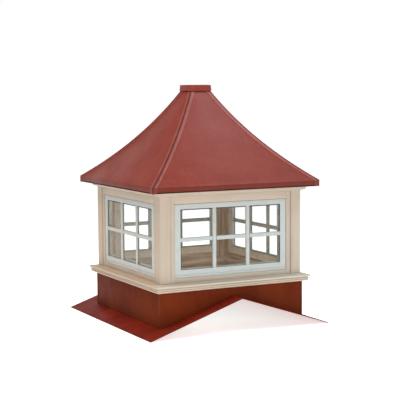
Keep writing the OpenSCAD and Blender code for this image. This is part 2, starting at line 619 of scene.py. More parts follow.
def outline(name: str, points: Sequence[Point]) -> bpy.types.Object:
    """Filled flat outline whose corners are set one by one.

    Args:
        name: the piece's name.
        points: the corners in order.

    Returns:
        The outline as one face.
    """
    bpy.ops.mesh.primitive_circle_add(vertices=len(points), radius=0.01, fill_type="NGON", location=(0, 0, 0))
    obj = bpy.context.active_object
    obj.name = obj.data.name = name
    with editing(obj) as pick:
        for number, target in enumerate(points):
            start = pick.corner(number)
            bpy.ops.transform.translate(value=Vector(target) - start)
    return obj


def straighten(obj: bpy.types.Object) -> None:
    """Merges doubled corners and turns all faces outwards.

    Args:
        obj: the piece.
    """
    with editing(obj):
        bpy.ops.mesh.select_all(action="SELECT")
        bpy.ops.mesh.remove_doubles(threshold=0.00002)
        bpy.ops.mesh.select_all(action="SELECT")
        bpy.ops.mesh.normals_make_consistent(inside=False)


def ease_edges(obj: bpy.types.Object, width: float, segments: int = 2, angle: float = 28.0) -> None:
    """Rounds the sharp edges and smooths the shading.

    Args:
        obj: the piece.
        width: width of the rounding.
        segments: facets across the rounding.
        angle: edges sharper than this are rounded, in degrees.
    """
    modifier = obj.modifiers.new("edges", "BEVEL")
    modifier.width, modifier.segments = width, segments
    modifier.limit_method, modifier.angle_limit = "ANGLE", math.radians(angle)
    modifier.use_clamp_overlap = True
    choose(obj)
    bpy.ops.object.modifier_apply(modifier=modifier.name)
    with editing(obj):
        bpy.ops.mesh.select_all(action="SELECT")
        bpy.ops.mesh.dissolve_degenerate(threshold=0.00001)
    smooth(obj, angle + 8)


def smooth(obj: bpy.types.Object, angle: float = 50.0) -> None:
    """Smooths the shading across edges blunter than an angle in degrees."""
    choose(obj)
    bpy.ops.object.shade_smooth_by_angle(angle=math.radians(angle))


def thicken(obj: bpy.types.Object, thickness: float) -> None:
    """Gives a sheet its thickness behind its face.

    Args:
        obj: the sheet.
        thickness: thickness of its wall.
    """
    modifier = obj.modifiers.new("wall", "SOLIDIFY")
    modifier.thickness, modifier.offset = thickness, -1.0
    modifier.use_even_offset = True
    choose(obj)
    bpy.ops.object.modifier_apply(modifier=modifier.name)


def join(pieces: Sequence[bpy.types.Object]) -> bpy.types.Object:
    """Joins pieces into one.

    Args:
        pieces: the pieces, of which the first keeps its name.

    Returns:
        The joined piece.
    """
    choose(pieces[0])
    for piece in pieces[1:]:
        piece.select_set(True)
    bpy.ops.object.join()
    return bpy.context.active_object


def copy_of(source: bpy.types.Object, name: str) -> bpy.types.Object:
    """Copies a piece with its own mesh.

    Args:
        source: the piece or CAD node to copy.
        name: the copy's name.

    Returns:
        The copy, which rides on nothing yet.
    """
    hidden = source.hide_get()
    source.hide_set(False)
    choose(source)
    bpy.ops.object.duplicate(linked=False)
    obj = bpy.context.active_object
    source.hide_set(hidden)
    obj.parent = None
    obj.name = obj.data.name = name
    for key in [k for k in obj.keys() if k.startswith("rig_")]:
        del obj[key]
    return obj


def merged_copy(node: str, name: str) -> bpy.types.Object:
    """Copy of a CAD node with its loose triangles merged into whole faces.

    Args:
        node: the CAD node.
        name: the copy's name.

    Returns:
        The merged copy.
    """
    obj = copy_of(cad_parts[node], name)
    with editing(obj):
        bpy.ops.mesh.select_all(action="SELECT")
        bpy.ops.mesh.remove_doubles(threshold=0.00001)
        bpy.ops.mesh.select_all(action="SELECT")
        bpy.ops.mesh.dissolve_limited(angle_limit=math.radians(0.4))
        bpy.ops.mesh.normals_make_consistent(inside=False)
    obj.data.materials.clear()
    return obj


def fit(obj: bpy.types.Object, slot: Slot, material: "bpy.types.Material | None", *nodes: str) -> None:
    """Dresses a finished piece, fits it to the frame and reports it.

    Args:
        obj: the piece.
        slot: the record's slot that the piece belongs to; not used.
        material: its material, or None to keep those it has.
        nodes: CAD nodes that it stands for.
    """
    if material is not None:
        obj.data.materials.clear()
        obj.data.materials.append(material)
    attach(obj, "root")
    if nodes:
        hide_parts(*nodes)
    LOG.info("%s: %d faces", obj.name, len(obj.data.polygons))


# ---------------------------------------------------------------- sizes


@dataclass(frozen=True)
class Plan:
    """Main sizes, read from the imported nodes; halves are measured from the upright axis."""

    middle: float
    base_half: float
    base_in: float
    base_top: float
    ridge: float
    sheet: float
    reach: float
    front_reach: float
    back_reach: float
    sill_half: float
    room_half: float
    seat: float
    body_half: float
    post_in: float
    casing: float
    frame_out: float
    frame_back: float
    frame_low: float
    frame_high: float
    glass_out: float
    glass_back: float
    glass_half: float
    glass_low: float
    glass_high: float
    cornice_half: float
    cornice_low: float
    eave: float
    soffit_top: float
    eave_half: float
    cap_half: float
    cap_low: float
    cap_top: float

    @classmethod
    def read(cls) -> "Plan":
        """Reads the sizes from the CAD nodes' boxes.

        Returns:
            The sizes.
        """
        cap, wall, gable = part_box("roof_cap"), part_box("base_wall_left"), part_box("base_wall_front")
        mid = (cap[0].y + cap[1].y) / 2
        saddle, skirt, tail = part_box("flashing_front"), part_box("flashing_left"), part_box("flashing_back")
        sill, post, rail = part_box("sill_front"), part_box("corner_post_front_left"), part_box("top_rail_front")
        window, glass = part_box("window_frame_front"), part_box("window_glass_front")
        trim, board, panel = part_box("cornice_front"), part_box("soffit"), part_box("roof_panel_front")
        return cls(
            middle=mid, base_half=-wall[0].x, base_in=-wall[1].x, base_top=gable[1].z, ridge=saddle[1].z,
            sheet=skirt[1].z - skirt[0].z - (skirt[1].x - skirt[0].x) * saddle[1].z / -skirt[0].x,
            reach=-skirt[0].x, front_reach=mid - saddle[0].y, back_reach=tail[1].y - mid,
            sill_half=sill[1].x, room_half=mid - sill[1].y, seat=sill[1].z, body_half=-post[0].x,
            post_in=-post[1].x, casing=mid - rail[0].y, frame_out=mid - window[0].y,
            frame_back=mid - window[1].y, frame_low=window[0].z, frame_high=window[1].z,
            glass_out=mid - glass[0].y, glass_back=mid - glass[1].y, glass_half=glass[1].x,
            glass_low=glass[0].z, glass_high=glass[1].z, cornice_half=trim[1].x, cornice_low=trim[0].z,
            eave=board[0].z, soffit_top=board[1].z, eave_half=panel[1].x, cap_half=cap[1].x,
            cap_low=cap[0].z, cap_top=cap[1].z)

    def at(self, x: float, out: float, z: float) -> Vector:
        """Point of the front side, out from the axis."""
        return Vector((x, self.middle - out, z))

    def change(self, obj: bpy.types.Object, matrix: Matrix) -> None:
        """Moves a piece's mesh with the upright axis as its origin.

        Args:
            obj: the piece.
            matrix: the move.
        """
        pivot = Vector((0.0, self.middle, 0.0))
        obj.matrix_world = Matrix.Translation(pivot) @ matrix @ Matrix.Translation(-pivot)
        settle(obj)

    def mitre(self, joint: float) -> None:
        """Cuts the edited mesh to the front side's two mitres, which leave half a joint open."""
        cut((joint, self.middle, 0), (1, -1, 0), keep_behind=False)
        cut((-joint, self.middle, 0), (1, 1, 0), keep_behind=True)

    def turned(self, source: bpy.types.Object, name: str, quarter: int) -> bpy.types.Object:
        """Copy of a front piece turned to another side.

        Args:
            source: the front piece.
            name: the copy's name.
            quarter: quarter turns anticlockwise.

        Returns:
            The turned copy.
        """
        obj = copy_of(source, name)
        self.change(obj, Matrix.Rotation(quarter * math.pi / 2, 4, "Z"))
        return obj

    def round_all(self, source: bpy.types.Object, names: Sequence[str]) -> list[bpy.types.Object]:
        """The front piece and its three turned copies.

        Args:
            source: the finished front piece.
            names: the four names, anticlockwise from the front.

        Returns:
            The four pieces.
        """
        pieces = [self.turned(source, name, i) for i, name in enumerate(names) if i]
        source.name = source.data.name = names[0]
        return [source, *pieces]

    def run(self, name: str, section: Section, half: float) -> bpy.types.Object:
        """Moulding along the front side with mitred ends.

        Args:
            name: the piece's name.
            section: corners as (out from the axis, height).
            half: half the length before the mitres.

        Returns:
            The moulding.
        """
        obj = outline(name, [tuple(self.at(-half, out, z)) for out, z in section])
        with editing(obj) as pick:
            pick.faces(lambda centre, normal: True)
            extrude((2 * half, 0, 0))
            self.mitre(HAIR)
        straighten(obj)
        return obj

    def ring(self, name: str, out: float, back: float, outer: Sequence[float],
             inner: Sequence[float]) -> bpy.types.Object:
        """Flat frame on the front side with an opening through it.

        Args:
            name: the piece's name.
            out: outer face, from the axis.
            back: inner face, from the axis.
            outer: half width, bottom and top of the frame.
            inner: half width, bottom and top of the opening.

        Returns:
            The frame.
        """
        half, low, high = outer
        hole, hole_low, hole_high = inner
        obj = block(name, self.at(-half, out, low), self.at(half, back, high))
        with editing(obj) as pick:
            for side in (-hole, hole):
                cut((side, 0, 0), (1, 0, 0))
            for level in (hole_low, hole_high):
                cut((0, 0, level), (0, 0, 1))
            pick.faces(lambda c, n: abs(n.y) > 0.9 and abs(c.x) < hole and hole_low < c.z < hole_high)
            bpy.ops.mesh.bridge_edge_loops()
        straighten(obj)
        return obj


# ---------------------------------------------------------------- sub-assemblies


@dataclass
class Base:
    """Saddle base: four clad walls with a folded seam on each corner."""

    plan: Plan
    cladding: bpy.types.Material
    ply: bpy.types.Material
    seam_w: float = 0.013
    seam_t: float = 0.0012
    seam_gap: float = 0.0005
    ease: float = 0.0012

    def build(self) -> None:
        """Makes the walls and the corner seams."""
        p = self.plan
        for side in SIDES:
            wall = merged_copy(f"base_wall_{side}", f"base_panel_{side}")
            wall.data.materials.append(self.cladding)
            wall.data.materials.append(self.ply)
            with editing(wall) as pick:
                pick.faces(lambda c, n: abs(n.z) < 0.1
                           and max(abs(c.x), abs(c.y - p.middle)) < p.base_in + 0.002)
                wall.active_material_index = 1
                bpy.ops.object.material_slot_assign()
            ease_edges(wall, self.ease)
            fit(wall, Slot.BASE, None, f"base_wall_{side}")
        self._seams()

    def _seams(self) -> None:
        """Folded corner seams, from the flashing to the sill."""
        p = self.plan
        half, t = p.base_half, self.seam_t
        low = p.ridge * (1 - half / p.reach) + 2 * self.seam_gap
        seam = outline("corner_seam", [tuple(p.at(x, out, low)) for x, out in (
            (-half - t, half + t), (self.seam_w - half, half + t), (self.seam_w - half, half),
            (-half, half), (-half, half - self.seam_w), (-half - t, half - self.seam_w))])
        with editing(seam) as pick:
            pick.faces(lambda c, n: True)
            extrude((0, 0, p.base_top - low - self.seam_gap))
        straighten(seam)
        ease_edges(seam, 0.0005)
        for piece in p.round_all(seam, [f"corner_seam_{corner}" for corner in CORNERS]):
            fit(piece, Slot.BASE, self.cladding)


@dataclass
class Flashing:
    """Skirt of sheet metal on the roof slopes, with a rolled hem round its edge."""

    plan: Plan
    metal: bpy.types.Material
    hem: bpy.types.Material
    roll: float = 0.0024

    def build(self) -> None:
        """Makes the four sheets and the hems."""
        for side in SIDES:
            sheet = merged_copy(f"flashing_{side}", f"flashing_sheet_{side}")
            ease_edges(sheet, 0.0006)
            fit(sheet, Slot.FLASHING, self.metal, f"flashing_{side}")
        p = self.plan
        x, z = p.reach - self.roll, self.roll
        top = p.ridge - p.sheet / 2
        for name, out in (("front", p.front_reach - self.roll), ("back", self.roll - p.back_reach)):
            path = [p.at(-x, out, z), p.at(0, out, top), p.at(x, out, z)]
            self._hem(f"flashing_hem_{name}", path)
        for name, sign in (("left", -1), ("right", 1)):
            self._hem(f"flashing_hem_{name}", [p.at(sign * x, p.front_reach - self.roll, z),
                                               p.at(sign * x, self.roll - p.back_reach, z)])

    def _hem(self, name: str, path: Sequence[Vector]) -> None:
        """Rolled hem along a path.

        Args:
            name: the piece's name.
            path: centre points of the roll.
        """
        run = (path[1] - path[0]).normalized()
        side = run.cross(Vector((0, 0, 1))).normalized()
        up = side.cross(run)
        ring = [path[0] + (side * math.cos(a) + up * math.sin(a)) * self.roll for a in ROLL_TURNS]
        obj = outline(name, [tuple(point) for point in ring])
        with editing(obj) as pick:
            pick.faces(lambda c, n: True)
            for start, end in zip(path, path[1:]):
                extrude(end - start)
        straighten(obj)
        smooth(obj)
        fit(obj, Slot.FLASHING, self.hem)


@dataclass
class Sill:
    """Moulded sill between base and body: nosing, quirk, band and bevelled foot."""

    plan: Plan
    boards: Boards
    band_set: float = 0.007
    foot_set: float = 0.013
    foot_rise: float = 0.006
    knee_set: float = 0.004
    knee_rise: float = 0.0025
    groove_rise: float = 0.011
    groove_w: float = 0.0047
    groove_flank: float = 0.0012
    quirk: float = 0.0045
    neck: float = 0.004
    neck_flank: float = 0.001
    nosing: float = 0.0110
    nose_low: float = 0.0015
    nose_top: float = 0.002
    wash: float = 0.008
    wash_in: float = 0.003

    def build(self) -> None:
        """Makes the four mitred runs."""
        p = self.plan
        low, nose = p.base_top, p.sill_half
        band, edge = nose - self.band_set, p.seat - self.wash
        sunk, under = band - self.quirk, edge - self.nosing
        dip, rise = low + self.groove_rise, low + self.groove_rise + self.groove_w
        section = [(p.room_half, low), (band - self.foot_set, low),
                   (band - self.knee_set, low + self.knee_rise), (band, low + self.foot_rise),
                   (band, dip), (sunk, dip + self.groove_flank),
                   (sunk, rise - self.groove_flank), (band, rise),
                   (band, under - self.neck - self.neck_flank), (sunk, under - self.neck), (sunk, under),
                   (nose - self.nose_low, under), (nose, under + self.nose_low),
                   (nose, edge - self.nose_top), (nose - self.nose_top, edge),
                   (p.body_half - self.wash_in, p.seat), (p.room_half, p.seat)]
        run = p.run("sill_run", section, nose + SPARE)
        ease_edges(run, 0.0007, 2, 24)
        for i, piece in enumerate(p.round_all(run, [f"sill_run_{side}" for side in SIDES])):
            fit(piece, Slot.TRIM, self.boards[SIDE_GRAINS[i]], f"sill_{SIDES[i]}")


@dataclass
class Body:
    """Corner posts of two boards each, and the rails over and under the windows."""

    plan: Plan
    boards: Boards
    ease: float = 0.0016
    board_w: float = 0.062
    quirk_w: float = 0.0034
    quirk_d: float = 0.0027
    quirk_stop: float = 0.003

    def build(self) -> None:
        """Makes posts and rails from the frame's own pieces with eased edges."""
        post = merged_copy("corner_post_front_left", "post_front_left")
        self._quirks(post)
        ease_edges(post, self.ease)
        for i, piece in enumerate(self.plan.round_all(post, [f"post_{corner}" for corner in CORNERS])):
            fit(piece, Slot.TRIM, self.boards[Grain.UPRIGHT], f"corner_post_{CORNERS[i]}")
        for level in ("bottom", "top"):
            for i, side in enumerate(SIDES):
                rail = merged_copy(f"{level}_rail_{side}", f"{level}_board_{side}")
                ease_edges(rail, self.ease)
                fit(rail, Slot.TRIM, self.boards[SIDE_GRAINS[i]], f"{level}_rail_{side}")

    def _quirks(self, post: bpy.types.Object) -> None:
        """Cuts a narrow groove where the casing meets the corner board, on both flanks.

        Args:
            post: the front left post.
        """
        p, depth = self.plan, self.quirk_d
        foot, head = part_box("corner_post_front_left")
        low, high = foot.z + self.quirk_stop, head.z - self.quirk_stop
        near = self.board_w - p.body_half
        far = near + self.quirk_w
        with editing(post) as pick:
            cut((far, 0, 0), (1, 0, 0))
            cut((0, p.middle + far, 0), (0, 1, 0))
            for level in (low, high):
                cut((0, 0, level), (0, 0, 1))
            pick.faces(lambda c, n: n.y < -0.9 and near < c.x < far and low < c.z < high
                       and abs(p.middle - p.casing - c.y) < NEAR)
            extrude((0, depth, 0))
            pick.faces(lambda c, n: n.x < -0.9 and near < c.y - p.middle < far and low < c.z < high
                       and abs(c.x + p.casing) < NEAR)
            extrude((depth, 0, 0))
        straighten(post)


@dataclass
class Window:
    """Fixed window: stepped frame, glazing rubber, glass, and a lattice of bars on both faces."""

    plan: Plan
    vinyl: bpy.types.Material
    bar_vinyl: bpy.types.Material
    rubber: bpy.types.Material
    glass: bpy.types.Material
    groove: float = 0.008
    bar_w: float = 0.025
    bar_x: float = 0.107
    bar_rise: float = 0.284
    sash_rise: float = 0.087
    gap: float = 0.0018
    drip_w: float = 0.0026
    drip_d: float = 0.0024
    bead_w: float = 0.007
    bead_slope: float = 0.004
    rubber_w: float = 0.006
    bar_taper: float = 0.74
    bar_set: float = 0.0008
    bar_inner: float = 0.006

    def build(self) -> None:
        """Makes one window and turns copies of it to the other sides."""
        p = self.plan
        sight = (p.glass_half - self.groove, p.glass_low + self.groove, p.glass_high - self.groove)
        root, back = p.glass_out + HAIR, p.glass_back - HAIR
        for stem, piece, material in (
                ("window_casement", self._casement(sight), self.vinyl),
                ("glazing_bead", self._bead(sight), self.bar_vinyl),
                ("glazing_rubber", self._rubber(sight), self.rubber),
                ("bars_outer", self._bars("bars_outer", sight, root, p.frame_out - self.bar_set),
                 self.bar_vinyl),
                ("bars_inner", self._bars("bars_inner", sight, back, p.glass_back - self.bar_inner),
                 self.bar_vinyl)):
            for side, one in zip(SIDES, p.round_all(piece, [f"{stem}_{side}" for side in SIDES])):
                nodes = [f"window_frame_{side}"] if stem == "window_casement" else []
                fit(one, Slot.WINDOW, material, *nodes)
        for side in SIDES:
            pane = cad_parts[f"window_glass_{side}"]
            pane.data.materials.clear()
            pane.data.materials.append(self.glass)

    def _casement(self, sight: Sequence[float]) -> bpy.types.Object:
        """Outer frame with a shadow gap round it and a drip line under the sash.

        Args:
            sight: half width, bottom and top of the clear opening.

        Returns:
            The frame.
        """
        p, gap = self.plan, self.gap
        casement = p.ring("window_casement", p.frame_out, p.frame_back,
                          (p.post_in - gap, p.frame_low + gap / 2, p.frame_high - gap), sight)
        drip = p.base_top + self.sash_rise
        with editing(casement) as pick:
            for level in (drip - self.drip_w / 2, drip + self.drip_w / 2):
                cut((0, 0, level), (0, 0, 1))
            pick.faces(lambda c, n: n.y < -0.9 and abs(c.z - drip) < self.drip_w / 2)
            extrude((0, self.drip_d, 0))
        straighten(casement)
        ease_edges(casement, 0.0012)
        return casement

    def _bead(self, sight: Sequence[float]) -> bpy.types.Object:
        """Sloping bead inside the room that holds the glass.

        Args:
            sight: half width, bottom and top of the clear opening.

        Returns:
            The bead.
        """
        p = self.plan
        half, low, high = sight
        wide, back = self.bead_w, p.frame_back + 0.004
        bead = p.ring("glazing_bead", p.glass_back - 2 * HAIR, back, (half - HAIR, low + HAIR, high - HAIR),
                      (half - wide, low + wide, high - wide))
        with editing(bead) as pick:
            pick.edges(lambda a, b: all(v.y > p.middle - back - NEAR and abs(v.x) < half - 0.001
                                        and low + 0.001 < v.z < high - 0.001 for v in (a, b)))
            bpy.ops.mesh.bevel(offset=self.bead_slope, segments=3, affect="EDGES")
        straighten(bead)
        ease_edges(bead, 0.0005)
        return bead

    def _rubber(self, sight: Sequence[float]) -> bpy.types.Object:
        """Glazing rubber on the outer face of the glass, hidden by the sill bead below.

        Args:
            sight: half width, bottom and top of the clear opening.

        Returns:
            The rubber.
        """
        p = self.plan
        half, low, high = sight
        wide = self.rubber_w
        rubber = p.ring("glazing_rubber", p.glass_out + 0.0016, p.glass_out + HAIR / 2,
                        (half - HAIR, low + HAIR, high - HAIR), (half - wide, low + 0.0012, high - wide))
        ease_edges(rubber, 0.0004)
        return rubber

    def _bars(self, name: str, sight: Sequence[float], root: float, face: float) -> bpy.types.Object:
        """Lattice of two upright bars and one level bar with chamfered faces.

        Args:
            name: the piece's name.
            sight: half width, bottom and top of the clear opening.
            root: distance of the glass side from the axis.
            face: distance of the bars' face from the axis.

        Returns:
            The lattice as one mesh.
        """
        p = self.plan
        half, low, high = sight
        w, level, gap = self.bar_w / 2, p.base_top + self.bar_rise, HAIR / 2
        edges = (-half, -self.bar_x - w, w - self.bar_x, self.bar_x - w, self.bar_x + w, half)
        bars = [(edges[i], edges[i + 1], low, high) for i in (1, 3)]
        bars += [(edges[i], edges[i + 1], level - w, level + w) for i in (0, 2, 4)]
        front = p.middle - face
        pieces = []
        for number, (x0, x1, z0, z1) in enumerate(bars):
            bar = block(f"{name}_{number}", p.at(x0 + gap, root, z0 + gap), p.at(x1 - gap, face, z1 - gap))
            taper = (self.bar_taper, 1, 1) if number < 2 else (1, 1, self.bar_taper)
            with editing(bar) as pick:
                pick.faces(lambda c, n: abs(c.y - front) < NEAR)
                bpy.ops.transform.resize(value=taper, center_override=((x0 + x1) / 2, front, (z0 + z1) / 2))
            pieces.append(bar)
        lattice = join(pieces)
        with editing(lattice):
            bpy.ops.mesh.select_all(action="SELECT")
            bpy.ops.mesh.normals_make_consistent(inside=False)
        ease_edges(lattice, 0.0009)
        return lattice


@dataclass
class Eave:
    """Cornice moulding and soffit boards."""

    plan: Plan
    boards: Boards
    lean: float = 0.003
    foot: float = 0.005
    soffit_gap: float = 0.0003
    vee_w: float = 0.003
    vee_rise: float = 0.0022
    soffit_set: float = 0.0106

    def build(self) -> None:
        """Makes the mitred mouldings and the boards that close the eave."""
        p = self.plan
        cornice, board = self._cornice(), self._soffit()
        boards = p.round_all(board, [f"soffit_board_{side}" for side in SIDES])
        runs = p.round_all(cornice, [f"cornice_run_{side}" for side in SIDES])
        for i, side in enumerate(SIDES):
            wood = self.boards[SIDE_GRAINS[i]]
            fit(runs[i], Slot.TRIM, wood, f"cornice_{side}")
            fit(boards[i], Slot.TRIM, wood, *(["soffit"] if i == 0 else []))

    def _cornice(self) -> bpy.types.Object:
        """Moulding under the eave: a foot, a sloping underside and a square edge.

        Returns:
            The front run.
        """
        p = self.plan
        back, face, low, top = p.body_half, p.cornice_half, p.cornice_low, p.eave
        foot, leaning = back + self.foot, face - self.lean
        cornice = p.run("cornice_run", [
            (back, low), (foot, low), (foot, low + 0.0035), (face - 0.010, low + 0.005),
            (face - 0.0045, low + 0.0075), (leaning, low + 0.011), (leaning + 0.001, top - 0.008),
            (face, top - 0.006), (face, top), (back, top)], face + SPARE)
        ease_edges(cornice, 0.0008, 2, 24)
        return cornice

    def _soffit(self) -> bpy.types.Object:
        """Board that closes the eave, with a small groove along its middle.

        Returns:
            The front board.
        """
        p = self.plan
        inner, outer, low = p.room_half, p.eave_half - self.soffit_set, p.eave + self.soffit_gap
        mid, vee = (inner + outer) / 2, self.vee_w / 2
        board = p.run("soffit_board", [
            (inner, low), (mid - vee, low), (mid, p.eave + self.vee_rise), (mid + vee, low), (outer, low),
            (outer, p.soffit_top), (inner, p.soffit_top)], outer + SPARE)
        ease_edges(board, 0.0006)
        return board


@dataclass
class Roof:
    """Hollow-curved roof: sheet panels on a ply deck, hip strips with a bead, and the cap."""

    plan: Plan
    metal: bpy.types.Material
    edge: bpy.types.Material
    strap: bpy.types.Material
    bead_shadow_paint: bpy.types.Material
    ply: bpy.types.Material
    fold: float
    sag: float = 0.034
    cap_wall: float = 0.004
    cap_gap: float = 0.0006
    sheet: float = 0.0016
    deck: float = 0.008
    hip_w: float = 0.028
    hip_t: float = 0.003
    strap_t: float = 0.0016
    strap_gap: float = 0.0003
    strap_lip: float = 0.0015
    bead: float = 0.0042
    bead_rise: float = 0.9
    lap: float = 0.0030
    hem_t: float = 0.0018
    lip: float = 0.012
    deck_gap: float = 0.0006
    tuck: float = 0.026
    hip_tuck: float = 0.009
    cap_flare: float = 0.0026
    cap_shell: float = 0.0075
    steps: int = 30
    centre: Vector = field(init=False)
    radius: float = field(init=False)

    def __post_init__(self) -> None:
        """Works out the arc of the panels."""
        p = self.plan
        low, top = p.eave + self.fold, p.cap_half - self.cap_wall - self.hip_t - self.cap_gap
        rise, run = p.cap_low - low, p.eave_half - top
        chord = math.hypot(rise, run)
        self.radius = chord * chord / (8 * self.sag) + self.sag / 2
        off = (self.radius - self.sag) / chord
        self.centre = Vector(((p.eave_half + top) / 2 + off * rise, low + rise / 2 + off * run))

    def build(self) -> None:
        """Makes panels, decks, hip strips, beads and cap."""
        self._panels()
        self._hips()
        self._cap()

    def _arc_z(self, grow: float, out: float) -> float:
        """Height of the curve, grown outwards, at a distance from the axis."""
        r = self.radius - grow
        return self.centre.y - math.sqrt(r * r - (out - self.centre.x) ** 2)

    def _arc_out(self, grow: float, z: float) -> float:
        """Distance of the curve, grown outwards, from the axis at a height."""
        r = self.radius - grow
        return self.centre.x - math.sqrt(r * r - (z - self.centre.y) ** 2)

    def _sweep(self, grow: float, top: float) -> tuple[float, Vector, Vector, float]:
        """Arc of the curve, grown outwards, from the fold up.

        Args:
            grow: how far it lies outside the panels' face.
            top: height at which it ends.

        Returns:
            The height at which it starts, its centre, the way from there to its start as (y, z), and the
            angle that it sweeps.
        """
        p = self.plan
        out = p.eave_half + grow
        start = self._arc_z(grow, out)
        hub = p.at(0, self.centre.x, self.centre.y)
        first = Vector((p.middle - out - hub.y, start - hub.z))
        last = Vector((p.middle - self._arc_out(grow, top) - hub.y, top - hub.z))
        return start, hub, first, math.atan2(last.y, last.x) - math.atan2(first.y, first.x)

    def _shell(self, name: str, grow: float, low: float, top: float, lip: float) -> bpy.types.Object:
        """Sheet over the whole front side: lip, fold and curve.

        Args:
            name: the piece's name.
            grow: how far it lies outside the panels' face.
            low: bottom of the fold.
            top: height at which the curve ends.
            lip: depth of the return under the fold, or 0.

        Returns:
            The sheet, open and without thickness.
        """
        p = self.plan
        out, half = p.eave_half + grow, p.eave_half + grow + 2 * SPARE
        start, hub, _, swing = self._sweep(grow, top)
        bpy.ops.mesh.primitive_plane_add(size=1, location=p.at(0, out, (low + start) / 2),
                                         rotation=(math.pi / 2, 0, 0))
        obj = bpy.context.active_object
        obj.name = obj.data.name = name
        obj.scale = (2 * half, start - low, 1)
        settle(obj)
        with editing(obj) as pick:
            pick.edges(lambda a, b: abs(a.z - start) < NEAR and abs(b.z - start) < NEAR)
            bpy.ops.mesh.spin(steps=self.steps, angle=-swing, center=hub, axis=(1, 0, 0))
            if lip:
                pick.edges(lambda a, b: abs(a.z - low) < NEAR and abs(b.z - low) < NEAR)
                extrude((0, lip, 0))
        straighten(obj)
        with editing(obj):
            shape = bmesh.from_edit_mesh(obj.data)
            if sum(f.normal.z + 0.01 * -f.normal.y for f in shape.faces) < 0:
                bpy.ops.mesh.select_all(action="SELECT")
                bpy.ops.mesh.flip_normals()
        return obj

    def _panels(self) -> None:
        """Sheet panels with a hemmed fold, and the deck under them."""
        p, under = self.plan, self.deck_gap
        top = p.cap_low + self.tuck
        panel = self._shell("roof_sheet", 0.0, p.eave, top, self.lip)
        thicken(panel, self.sheet)
        deck = self._shell("roof_deck", -self.sheet - under, p.soffit_top + under, top, 0)
        thicken(deck, self.deck)
        for piece, joint in ((panel, self.deck_gap / 2), (deck, self.deck_gap)):
            with editing(piece):
                p.mitre(joint)
            straighten(piece)
            ease_edges(piece, 0.0005, 2, 40)
        hem = self._hem()
        decks = p.round_all(deck, [f"roof_deck_{side}" for side in SIDES])
        hems = p.round_all(hem, [f"eave_hem_{side}" for side in SIDES])
        panels = p.round_all(panel, [f"roof_sheet_{side}" for side in SIDES])
        for i, side in enumerate(SIDES):
            fit(panels[i], Slot.ROOF, self.metal, f"roof_panel_{side}")
            fit(decks[i], Slot.ROOF, self.ply)
            # the hems' near-black paint is a painted shadow line under the eave
            fit(hems[i], Slot.ROOF, self.edge)

    def _hem(self) -> bpy.types.Object:
        """Doubled hem along the bottom of the fold.

        Returns:
            The front hem.
        """
        p = self.plan
        out, low, face = p.eave_half, p.eave, p.eave_half + self.hem_t
        hem = p.run("eave_hem", [
            (out, low - 0.0008), (out + 0.0012, low - 0.0008), (face, low + 0.0005),
            (face, low + 0.0042), (out + 0.0010, low + 0.0055), (out, low + 0.0057)], out + SPARE)
        ease_edges(hem, 0.0003)
        return hem

    def _hips(self) -> None:
        """Hip strips with folded edges, and the bead along each arris."""
        p, axis = self.plan, self.plan.middle
        flank = self._shell("hip_flank", self.strap_t + self.strap_gap, p.eave - 2 * self.strap_gap,
                            p.cap_low + self.hip_tuck, self.strap_lip)
        thicken(flank, self.strap_t)
        with editing(flank):
            cut((0.0, axis, 0), (1, -1, 0), keep_behind=False)
            cut((self.hip_w, axis, 0), (1, -1, 0), keep_behind=True)
        straighten(flank)
        mate = copy_of(flank, "hip_mate")
        p.change(mate, MIRROR)
        straighten(mate)
        strap = join((flank, mate))
        ease_edges(strap, 0.0007, 2, 35)
        beads = p.round_all(self._bead(), [f"hip_bead_{corner}" for corner in CORNERS])
        straps = p.round_all(strap, [f"hip_strap_{corner}" for corner in CORNERS])
        for i, corner in enumerate(CORNERS):
            # the straps' lighter paint is a painted highlight along the hips
            fit(straps[i], Slot.ROOF, self.strap, f"hip_strip_{corner}")
            # the beads' dark paint is a painted shadow line beside each arris
            fit(beads[i], Slot.ROOF, self.bead_shadow_paint)

    def _bead(self) -> bpy.types.Object:
        """Half-sunk roll along the front left arris, turned down over the eave.

        Returns:
            The roll.
        """
        p, bead = self.plan, self.bead
        start, hub, first, swing = self._sweep(self.strap_t, p.cap_low + self.hip_tuck)
        foot, away = p.at(0, p.eave_half + self.strap_t, start), first.normalized()
        ring = []
        for turn in ROLL_TURNS:
            radial = self.radius - self.strap_t + bead * self.bead_rise * math.cos(turn)
            ring.append((bead * math.sin(turn), hub.y + away.x * radial, hub.z + away.y * radial))
        obj = outline("hip_bead", ring)
        with editing(obj) as pick:
            pick.faces(lambda c, n: True)
            bpy.ops.mesh.spin(steps=self.steps, angle=-swing, center=hub, axis=(1, 0, 0))
            pick.faces(lambda c, n: abs(c.z - start) < 0.001 and (c - foot).length < 0.003)
            extrude((0, 0, p.eave + HAIR - start - bead * 0.2))
        straighten(obj)
        turn = Matrix.Rotation(-math.pi / 4, 4, "Z")
        stretch = Matrix.Diagonal((1.0, math.sqrt(2.0), 1.0, 1.0))
        p.change(obj, Matrix.Translation((self.lap, 0, 0)) @ turn @ stretch)
        straighten(obj)
        smooth(obj)
        return obj

